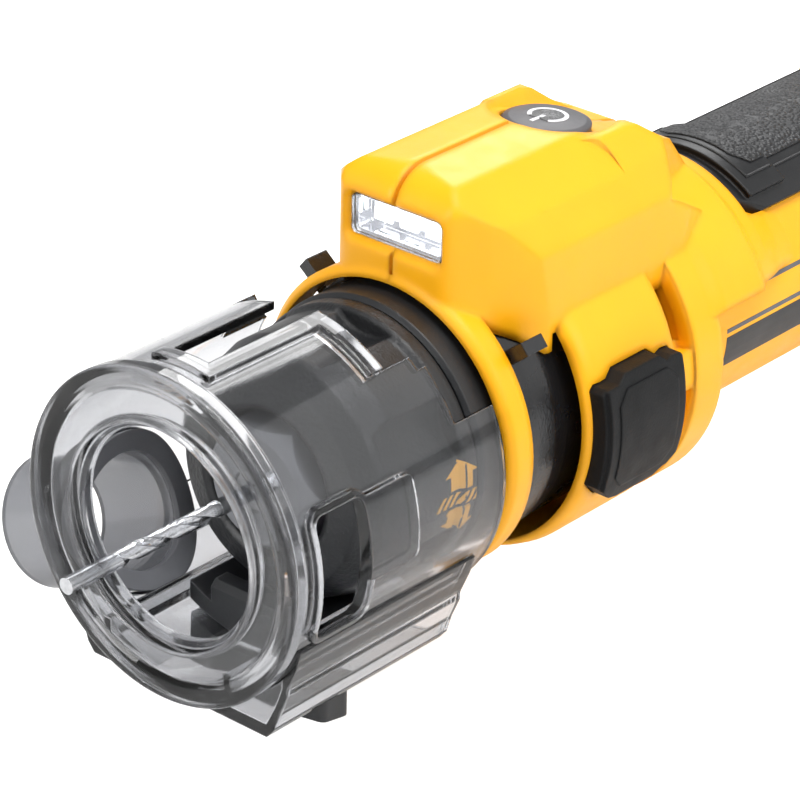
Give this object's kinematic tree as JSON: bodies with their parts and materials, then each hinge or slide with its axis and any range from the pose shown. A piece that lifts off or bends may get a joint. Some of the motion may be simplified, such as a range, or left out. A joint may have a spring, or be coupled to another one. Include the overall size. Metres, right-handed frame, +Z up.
{
  "type": "cordless drywall cut-out tool",
  "caption": "Cordless cut-out tool with a clear dust shroud and side dust port, a bit in a collet, a twist collar, a lamp, a top power button and a slide-off battery pack.",
  "frame": {"origin": "on the spindle axis, in the plane of the shroud's front rim", "axes": "+Y from the bit along the spindle to the battery, +Z up on the lamp's side, +X to the side with the shroud's window"},
  "size_m": [0.1089, 0.4141, 0.1322],
  "materials": {
    "yellow_shell": "fine matte moulded nylon with a satin top",
    "black_shell": "fine textured black nylon",
    "motor_black": "glossy black moulding with a light grain",
    "soft_black": "pebbled soft overmould",
    "collar_grey": "dark grey coarse textured moulding",
    "smoke_clear": "clear lightly smoked polycarbonate",
    "button_grey": "mid grey moulded cap",
    "satin_steel": "satin turned steel",
    "bright_steel": "polished steel",
    "screw_steel": "black oxide and zinc screws",
    "lamination": "stacked electrical steel",
    "winding": "enamelled copper wire",
    "board_green": "green circuit board",
    "potting": "potted electronics",
    "lens_clear": "clear lens",
    "reflector": "bright metallised tray",
    "cell_wrap": "cells in blue wrap",
    "holder_grey": "grey moulded spacer",
    "gauge_red": "red light pipes"
  },
  "bodies": {
    "housing": {"housing_left": "yellow_shell", "housing_right": "yellow_shell", "housing_screws": "screw_steel", "side_pad_left": "soft_black", "side_pad_right": "soft_black", "grip_cover": "soft_black", "lamp_lens": "lens_clear", "lamp_reflector": "reflector", "lamp_board": "board_green", "switch_board": "board_green", "nose_cap": "black_shell", "nose_screws": "screw_steel", "motor_can": "motor_black", "stator_core": "lamination", "stator_coils": "winding", "front_bearing": "bright_steel", "rear_bearing": "bright_steel", "bearing_carrier": "black_shell", "controller": "potting", "terminal_block": "black_shell", "terminal_blades": "bright_steel", "shroud_arm": "black_shell", "arm_screws": "screw_steel"},
    "spindle": {"spindle_shaft": "satin_steel", "rotor_core": "lamination", "rotor_magnets": "bright_steel", "cooling_fan": "black_shell", "collet": "satin_steel", "cutting_bit": "bright_steel"},
    "nut": {"collet_nut": "satin_steel"},
    "collar": {"bit_collar": "collar_grey"},
    "sleeve": {"lock_sleeve": "satin_steel"},
    "button": {"power_button": "button_grey"},
    "shroud": {"dust_shroud": "smoke_clear", "dust_port": "smoke_clear", "port_gasket": "soft_black"},
    "knob": {"clamp_knob": "black_shell"},
    "pack": {"pack_case": "black_shell", "pack_cover": "black_shell", "pack_cells": "cell_wrap", "cell_holder": "holder_grey", "pack_screws": "screw_steel", "gauge_lights": "gauge_red"},
    "release": {"pack_release": "yellow_shell"},
    "gauge": {"gauge_button": "button_grey"}
  },
  "joints": [
    {"name": "spindle_turn", "type": "hinge", "parent": "housing", "child": "spindle", "pos_m": [0, 0.074, 0], "axis": [0, 1, 0], "continuous": true},
    {"name": "nut_turn", "type": "hinge", "parent": "spindle", "child": "nut", "pos_m": [0, 0.038, 0], "axis": [0, 1, 0], "range_deg": [0, 360]},
    {"name": "collar_turn", "type": "hinge", "parent": "housing", "child": "collar", "pos_m": [0, 0.062, 0], "axis": [0, 1, 0], "range_deg": [0, 60]},
    {"name": "sleeve_slide", "type": "slide", "parent": "housing", "child": "sleeve", "axis": [0, -1, 0], "range_m": [0, 0.003]},
    {"name": "power_press", "type": "slide", "parent": "housing", "child": "button", "axis": [0, -0.1736, -0.9848], "range_m": [0, 0.0012], "stiffness_N_per_m": 2000, "springref_m": -0.0008},
    {"name": "shroud_slide", "type": "slide", "parent": "housing", "child": "shroud", "axis": [0, -1, 0], "range_m": [0, 0.025]},
    {"name": "knob_turn", "type": "hinge", "parent": "housing", "child": "knob", "pos_m": [0, 0.0344, -0.046], "axis": [0, 0, 1], "range_deg": [0, 180]},
    {"name": "pack_slide", "type": "slide", "parent": "housing", "child": "pack", "axis": [0, 0, -1], "range_m": [0, 0.095]},
    {"name": "release_press", "type": "slide", "parent": "pack", "child": "release", "axis": [0, 0, 1], "range_m": [0, 0.003], "stiffness_N_per_m": 1500, "springref_m": -0.001},
    {"name": "gauge_press", "type": "slide", "parent": "pack", "child": "gauge", "axis": [0, -1, 0], "range_m": [0, 0.0008], "stiffness_N_per_m": 1500, "springref_m": -0.0006}
  ],
  "couplings": [
    {"joint": "sleeve_slide", "follows": "collar_turn", "m_per_rad": 0.00286}
  ]
}
